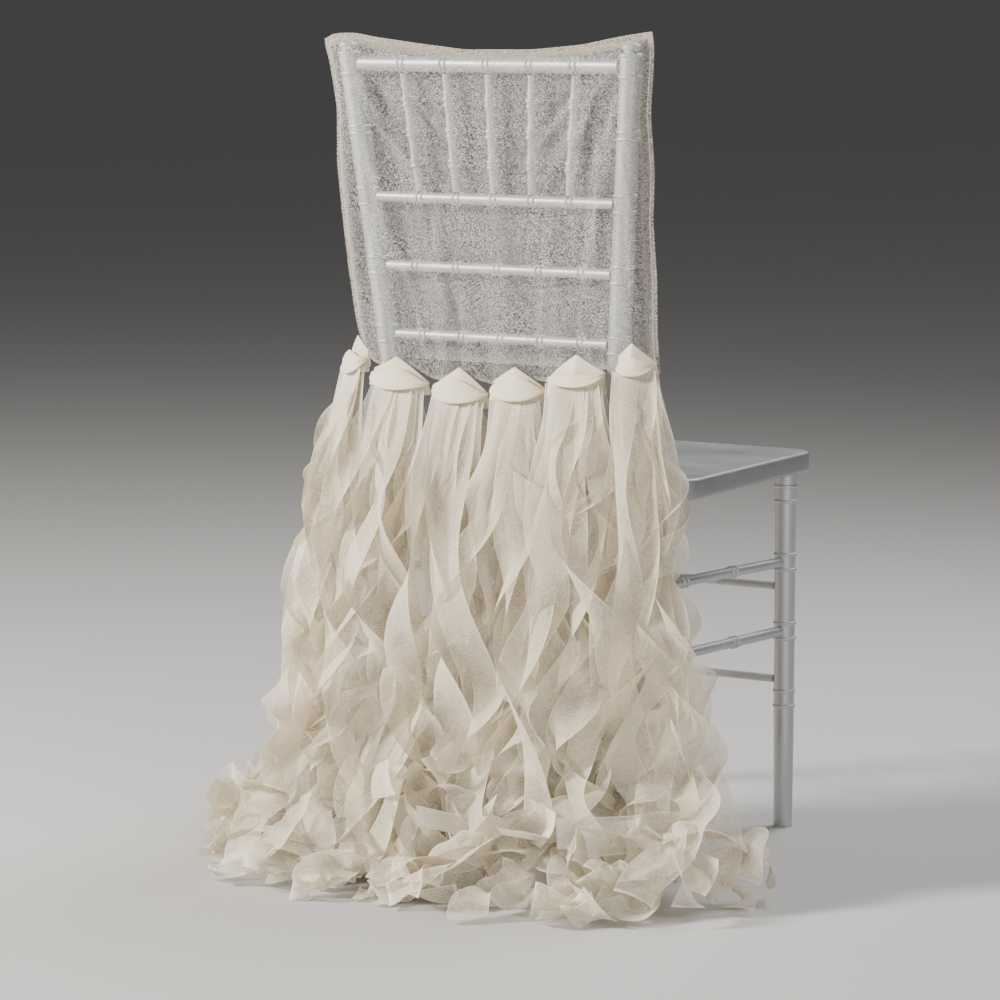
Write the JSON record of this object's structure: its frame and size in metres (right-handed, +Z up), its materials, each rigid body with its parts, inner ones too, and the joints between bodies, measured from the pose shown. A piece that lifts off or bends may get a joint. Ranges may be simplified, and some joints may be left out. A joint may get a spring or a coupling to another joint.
{
  "type": "chair back cover with ribbon tails on a turned ballroom chair",
  "caption": "Sheer sleeve pulled over the back of a turned ballroom chair, with knotted heads along its hem and wide curling ribbons falling to the floor.",
  "frame": {"origin": "centre of the bounding box, on the floor", "axes": "+Z up; -Y is the covered outer side of the chair's back; +Y is the seat's front; +X is the right of someone who looks at the covered back"},
  "size_m": [0.7006, 0.6618, 0.9406],
  "materials": {
    "sheer_organza": "thin see-through organza with a fine silver glitter",
    "ivory_organza": "ivory organza ribbon, matt with a faint sheen",
    "silver_paint": "satin silver paint on turned wood"
  },
  "bodies": {
    "root": {"rear_panel": "sheer_organza", "front_panel": "sheer_organza", "ribbons_1": "ivory_organza", "ribbons_2": "ivory_organza", "ribbons_3": "ivory_organza", "ribbons_4": "ivory_organza", "ribbons_5": "ivory_organza", "ribbons_6": "ivory_organza", "back_post_left": "silver_paint", "back_post_right": "silver_paint", "back_rail_1": "silver_paint", "back_rail_2": "silver_paint", "back_rail_3": "silver_paint", "back_rail_4": "silver_paint", "spindle_1": "silver_paint", "spindle_2": "silver_paint", "spindle_3": "silver_paint", "spindle_4": "silver_paint", "spindle_5": "silver_paint", "back_stretcher": "silver_paint", "front_leg_left": "silver_paint", "front_leg_right": "silver_paint", "front_stretcher_1": "silver_paint", "front_stretcher_2": "silver_paint", "side_stretcher_left_1": "silver_paint", "side_stretcher_left_2": "silver_paint", "side_stretcher_right_1": "silver_paint", "side_stretcher_right_2": "silver_paint", "seat": "silver_paint"}
  },
  "joints": []
}
